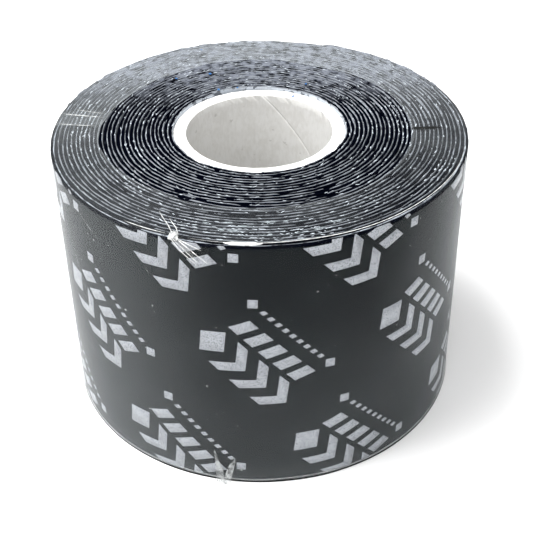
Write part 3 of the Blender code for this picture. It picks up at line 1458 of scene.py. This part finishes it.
    def creases_and_foot_highlight(self, finish: bpy.types.Material) -> bpy.types.Object:
        """The flat creases of the left lip, two scratches on the wall, and a painted highlight as a light
        line at its foot.

        Args:
            finish: Their material.

        Returns:
            The piece.
        """
        paths = [
            ([(-93.6, 0.4, 0), (-92.8, 4.2, 0), (-92.0, 8.3, 0)], 0.20, 0.04),
            ([(-99.4, 0.5, 0), (-99.0, 4.2, 0), (-98.6, 8.4, 0)], 0.26, 0.05),
            ([(-102.6, 2.6, 0), (-101.8, 5.5, 0), (-101.4, 8.5, 0)], 0.18, 0.04),
            ([(-55.6, -2.2, 0), (-50.2, -4.4, 0), (-45.0, -6.2, 0)], 0.09, 0.02),
            ([(-64.6, -7.0, 0), (-60.1, -13.4, 0), (-55.0, -21.4, 0)], 0.10, 0.02),
        ]
        # A painted highlight: the light line along the front of the wall's foot.
        foot = 0.75 - self.lid / MM
        rim = [(a, foot + 0.12 * math.sin(0.19 * a), 0.0) for a in range(-100, 101, 5)]
        paths.append((rim, 0.16, 0.04))
        parts = [self.pleat(path, width, height) for path, width, height in paths]
        return merged_piece("film_creases_and_foot_highlight", parts, finish)

    def smears(self, finish: bpy.types.Material) -> bpy.types.Object:
        """Patches of the front lip where the film clings to the liner's edges.

        Args:
            finish: Their material.

        Returns:
            The piece.
        """
        parts = []
        for (first, start), (last, end), width in self.clinging:
            middle = (0.5 * (first + last), 0.5 * (start + end), 0.0)
            parts.append(self.pleat([(first, start, 0.0), middle, (last, end, 0.0)], width, 0.03))
        return merged_piece("film_smears", parts, finish)

    def painted_foot_shade(self, finish: bpy.types.Material) -> bpy.types.Object:
        """A painted shadow: the dark line along the front of the film's foot, where the roll stands on the
        floor.

        Args:
            finish: Its material.

        Returns:
            The piece.
        """
        foot = 0.24 - self.lid / MM
        rim = [(a, foot + 0.03 * math.sin(0.3 * a), -0.02) for a in range(-110, 111, 5)]
        points, faces = self.pleat(rim, 0.40, 0.05)
        return make_piece("film_painted_foot_shade", points, faces, finish)

    def folds_and_rim_highlight(self, finish: bpy.types.Material) -> bpy.types.Object:
        """The white streaks at the knot, which are folds, and a painted highlight, a strip and a line, along
        the front of the rim.

        Args:
            finish: Their material.

        Returns:
            The piece.
        """
        knot = self.knot_azimuth
        paths = [
            ([(knot - 1.2, 0.2, 0.05), (knot + 1.8, -2.1, 0.15), (knot + 6.0, -4.6, 0.05)], 0.14, 0.10),
            ([(knot + 0.2, 0.2, 0.05), (knot + 3.6, -1.2, 0.2), (knot + 8.6, -4.0, 0.05)], 0.16, 0.10),
            ([(knot - 0.6, 0.1, 0.05), (knot + 2.5, -1.7, 0.1), (knot + 6.6, -4.4, 0.0)], 0.12, 0.07),
            ([(knot + 0.6, 0.1, 0.05), (knot + 3.6, -0.6, 0.1), (knot + 7.0, -1.6, 0.0)], 0.14, 0.08),
            ([(knot - 0.6, 0.8, 0.1), (knot - 3.6, 2.8, 0.1), (knot - 9.5, 5.6, 0.0)], 0.15, 0.08),
            ([(knot + 0.8, 0.8, 0.1), (knot - 0.8, 2.4, 0.1), (knot - 5.0, 4.6, 0.0)], 0.13, 0.06),
            # A painted highlight: the bright strip on the film's shoulder just left of the front.
            ([(-9.2, 0.45, 0.0), (-4.5, 0.4, 0.02), (0.2, 0.42, 0.0)], 0.62, 0.07),
        ]
        # A painted highlight: the thin white line along the front of the rim.
        for first, last, wave in ((-36, -20, 0.21), (-18, 80, 0.17)):
            rim = [(a, 0.62 + 0.07 * math.sin(wave * a), 0.0) for a in range(first, last, 6)]
            paths.append((rim, 0.13, 0.05))
        parts = [self.pleat(path, width, height) for path, width, height in paths]
        return merged_piece("film_knot_folds_and_rim_highlight", parts, finish)

    def slit(self, finish: bpy.types.Material) -> bpy.types.Object:
        """The dark line in the right lip, where the film is nicked.

        Args:
            finish: Its material.

        Returns:
            The piece.
        """
        rim = self.wall / MM
        path = [(85.6, rim - 26.5, 0.0), (86.1, rim - 29.0, 0.0), (86.6, rim - 31.9, 0.0)]
        points, faces = self.pleat(path, 0.85, 0.05)
        return make_piece("lip_nick", points, faces, finish)

    def petal(self, left: Path, right: Path, ribs: float, crown: float) -> tuple[np.ndarray, list]:
        """A gathered tongue of film between two edges.

        Args:
            left: Places of one edge, as surface takes them.
            right: Places of the other edge.
            ribs: How deep its ribs are, in millimetres.
            crown: How far its middle stands off the film, in millimetres.

        Returns:
            Its points and faces.
        """
        length, across = 26, 15
        spots = np.linspace(0, 1, length)
        edges = []
        for edge in (left, right):
            knots = np.array(edge, float)
            at = spots * (len(knots) - 1)
            edges.append(np.stack([np.interp(at, range(len(knots)), knots[:, k]) for k in range(3)], -1))
        outer = np.zeros((length, across, 3))
        inner = np.zeros((length, across, 3))
        for i in range(length):
            for j in range(across):
                s = j / (across - 1)
                place = edges[0][i] * (1 - s) + edges[1][i] * s
                rib = abs(math.sin(s * math.pi * 3.5 + 0.6 * i / 9))
                place[2] += crown * math.sin(math.pi * s) + ribs * rib
                point, out = self.surface(tuple(place))
                outer[i, j] = point
                inner[i, j] = point - out * 0.05 * MM
        grid = np.concatenate([outer, inner[:, ::-1]], 1)
        rows = grid.shape[1]
        faces = grid_faces(length, rows, False, True).tolist()
        faces.append(list(range(rows)))
        faces.append(list(range(length * rows - 1, (length - 1) * rows - 1, -1)))
        return grid.reshape(-1, 3), faces

    def tail(self, finish: bpy.types.Material) -> bpy.types.Object:
        """The pinched tail at the front of the bottom rim.

        Args:
            finish: Its material.

        Returns:
            The piece.
        """
        foot = -(self.lid / MM)
        left = (
            [
                (-14.3, foot + 7.7, 0),
                (-14.1, foot + 5.0, 0.1),
                (-13.9, foot + 2.4, 0.3),
                (-13.7, foot + 0.02, 0.5),
            ],
            [
                (-14.1, foot + 7.5, 0),
                (-12.9, foot + 4.9, 0.2),
                (-11.7, foot + 2.7, 0.4),
                (-11.3, foot + 0.02, 0.8),
            ],
        )
        right = (
            [
                (-8.6, foot + 5.6, 0),
                (-10.2, foot + 4.1, 0.1),
                (-11.2, foot + 2.3, 0.4),
                (-11.5, foot + 0.02, 0.9),
            ],
            [
                (-8.3, foot + 5.4, 0),
                (-8.9, foot + 3.5, 0.1),
                (-9.5, foot + 1.7, 0.3),
                (-9.9, foot + 0.02, 0.7),
            ],
        )
        parts = [self.petal(*left, 0.10, 0.12), self.petal(*right, 0.12, 0.15)]
        return merged_piece("film_tail", parts, finish)

    def knot(self, flat: bool, finish: bpy.types.Material) -> bpy.types.Object:
        """The gathered knot on the front of the top rim, or the drawn film that fans out of it.

        Args:
            flat: Whether it is the fan.
            finish: Its material.

        Returns:
            The piece.
        """
        knot = self.knot_azimuth
        fan = (
            [(knot - 0.9, 0.4, 0.02), (knot + 1.4, -1.3, 0.05), (knot + 4.4, -3.2, 0.02)],
            [(knot + 0.9, 0.5, 0.02), (knot + 2.6, -0.7, 0.05), (knot + 6.0, -2.6, 0.02)],
        )
        crown = (
            [(knot - 1.5, -0.3, 0.1), (knot - 1.1, 0.4, 0.4), (knot - 1.2, 1.2, 0.1)],
            [(knot + 1.2, -0.5, 0.1), (knot + 1.3, 0.3, 0.4), (knot + 0.6, 1.3, 0.1)],
        )
        parts = [self.petal(*fan, 0.07, 0.05)] if flat else [self.petal(*crown, 0.22, 0.15)]
        return merged_piece("knot_fan" if flat else "film_knot", parts, finish)

    def bubbles(self, finish: bpy.types.Material) -> bpy.types.Object:
        """Specks of dust and air caught under the film's wall.

        Args:
            finish: Their material.

        Returns:
            The piece.
        """
        rng = np.random.default_rng(91)
        parts = []
        for _ in range(170):
            azimuth = rng.uniform(-180, 180)
            down = rng.uniform(2, self.lid / MM - 2)
            size = rng.choice([0.09, 0.12, 0.2], p=[0.6, 0.3, 0.1]) * rng.uniform(0.7, 1.2)
            sides = 8
            middle, out = self.surface((azimuth, -down, 0.0))
            level = np.array([math.cos(math.radians(azimuth)), math.sin(math.radians(azimuth)), 0.0])
            points = []
            for reach, lift in ((1.0, -0.01), (0.7, 0.35), (0.0, 0.5)):
                for k in range(sides if reach else 1):
                    a = TAU * k / sides
                    flat = level * math.cos(a) + np.array([0, 0, 1.0]) * math.sin(a)
                    points.append(middle + (flat * reach + out * lift * 0.5) * size * MM)
            faces = [tuple(range(sides - 1, -1, -1))]
            for k in range(sides):
                after = (k + 1) % sides
                faces.append((k, after, sides + after, sides + k))
                faces.append((sides + k, sides + after, 2 * sides))
            parts.append((np.array(points), faces))
        return merged_piece("film_bubbles", parts, finish)

    def build(self) -> list[bpy.types.Object]:
        """Builds the band, its folds, and the painted highlights and shadow along its rims.

        Returns:
            The pieces.
        """
        clear = ClearFilm("Clear shrink film").build()
        folded = FoldedFilm("Folded film").build()
        # This white serves the knot's folds and the painted highlight along the front rim.
        crisp = FoldedFilm("Creased film and rim highlight", tint=(0.92, 0.93, 0.92, 1.0), least=0.3, most=0.8).build()
        black = {"ink": (0.010, 0.011, 0.011, 1.0), "faint": (0.024, 0.024, 0.024, 1.0)}
        # One dark ink serves the nick and the painted shadow along the film's foot.
        dark = PlainMark("Nick and painted foot shade", shine=0.02, **black).build()
        band = self.band(clear)
        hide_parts("shrink_band")
        # This white serves the lip's creases, the scratches and the painted highlight at the foot.
        thin = FoldedFilm("Thin folded film and foot highlight", least=0.08, most=0.45).build()
        grey_white = FoldedFilm("Clinging film", tint=(0.50, 0.57, 0.60, 1.0), least=0.0, most=0.42).build()
        faint = FoldedFilm("Barely folded film", tint=(0.50, 0.52, 0.52, 1.0), least=0.0, most=0.2).build()
        grey = FoldedFilm("Drawn film", tint=(0.50, 0.52, 0.52, 1.0), least=0.12, most=0.5).build()
        pieces = [band, self.creases_and_foot_highlight(thin), self.folds_and_rim_highlight(crisp), self.slit(dark)]
        pieces += [self.tail(grey), self.knot(False, folded), self.knot(True, faint)]
        pieces += [self.bubbles(folded), self.smears(grey_white), self.painted_foot_shade(dark)]
        for piece in pieces:
            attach(piece, BODY)
        return pieces


# ---------------------------------------------------------------- the stage


@dataclass
class Stage:
    """The floor, the light and the camera."""

    distance: float = 171.8 * MM
    height: float = 146.6 * MM
    pitch: float = math.radians(36.30)
    yaw: float = math.radians(0.276)
    roll: float = math.radians(-1.06)
    lens: float = 74.96
    floor_radius: float = 1.5
    floor_bend: float = 1.0
    # how light the room is towards each height: (sine of the elevation, level)
    room: tuple = ((0, 1.0), (1, 1.0), (0.46, 1.0), (0.51, 0.36), (0.62, 0.30), (0.8, 0.9))

    def floor(self) -> bpy.types.Object:
        """A plain pale floor that curves up far away all round, without an edge in sight.

        Returns:
            The floor.
        """
        bend, sides = self.floor_bend, 96
        turn = np.linspace(-math.pi / 2, 0, 13)
        run = [(self.floor_radius + bend * math.cos(a), bend + bend * math.sin(a)) for a in turn]
        around = np.linspace(0, TAU, sides, endpoint=False)
        grid = np.array([[(r * math.cos(a), r * math.sin(a), z) for r, z in run] for a in around])
        faces = grid_faces(sides, len(run), True, False).tolist()
        faces.append([k * len(run) for k in range(sides)])
        piece = make_piece("floor", grid, faces, StageWhite("Stage white").build())
        return piece

    def light(self, name: str, place: tuple, size: float, power: float) -> bpy.types.Object:
        """A soft square light aimed at the roll.

        Args:
            name: The light's name.
            place: Where it is.
            size: How wide it is, in metres.
            power: Its power, in watts.

        Returns:
            The light.
        """
        lamp = bpy.data.lights.new(name, "AREA")
        lamp.shape = "SQUARE"
        lamp.size = size
        lamp.energy = power
        obj = bpy.data.objects.new(name, lamp)
        bpy.context.scene.collection.objects.link(obj)
        obj.location = place
        aim = Vector((0, 0, 0.03)) - Vector(place)
        obj.rotation_euler = aim.to_track_quat("-Z", "Y").to_euler()
        return obj

    def camera(self) -> bpy.types.Object:
        """The camera, in front of the roll and above it.

        Returns:
            The camera.
        """
        data = bpy.data.cameras.new("camera")
        data.lens = self.lens
        data.sensor_width = 36.0
        data.clip_start = 0.01
        obj = bpy.data.objects.new("camera", data)
        bpy.context.scene.collection.objects.link(obj)
        level = math.cos(self.pitch)
        ahead = Vector((math.sin(self.yaw) * level, math.cos(self.yaw) * level, -math.sin(self.pitch)))
        right = ahead.cross(Vector((0, 0, 1))).normalized()
        up = right.cross(ahead)
        side = right * math.cos(self.roll) + up * math.sin(self.roll)
        top = up * math.cos(self.roll) - right * math.sin(self.roll)
        turn = Matrix((side, top, -ahead)).transposed()
        obj.matrix_world = Matrix.Translation((0, -self.distance, self.height)) @ turn.to_4x4()
        bpy.context.scene.camera = obj
        return obj

    def build(self) -> None:
        """Builds the stage."""
        self.camera()
        self.floor()
        self.light("key_light", (-0.40, -0.02, 0.92), 0.5, 15.0)
        self.light("fill_light", (0.1, -0.9, 0.8), 1.0, 6.0)
        world = bpy.data.worlds.new("Soft white room")
        world.use_nodes = True
        sheet = NodeSheet(world.node_tree)
        toward = sheet.add("ShaderNodeTexCoord").outputs["Generated"]
        height = sheet.add("ShaderNodeSeparateXYZ", {0: toward}).outputs[2]
        ramp = sheet.add("ShaderNodeValToRGB", {0: height})
        stops = ramp.color_ramp.elements
        for place, level in self.room:
            stop = stops[0] if place == 0 else stops[1] if place == 1 else stops.new(place)
            stop.color = (level, level, level, 1.0)
        back = world.node_tree.nodes["Background"]
        sheet.tree.links.new(ramp.outputs[0], back.inputs["Color"])
        back.inputs["Strength"].default_value = 0.9
        bpy.context.scene.world = world
        bpy.context.scene.view_settings.view_transform = "Standard"


def main() -> None:
    """Builds every piece of the roll in order."""
    logging.basicConfig(level=logging.INFO, format="%(message)s")
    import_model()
    sizes = RollSizes.read()
    Stage().build()
    winding = Winding(sizes)
    makers = (
        ("core", PaperCore(sizes).build),
        ("winding", winding.build),
        ("edges", EdgeFuzz(sizes, winding).build),
        ("print", lambda: [TapePrint(sizes, winding).build()]),
        ("film", ShrinkFilm(sizes).build),
    )
    for name, make in makers:
        for piece in make():
            LOG.info("%s: %s, %d points", name, piece.name, len(piece.data.vertices))
    bpy.context.view_layer.update()


if __name__ == "__main__":
    main()
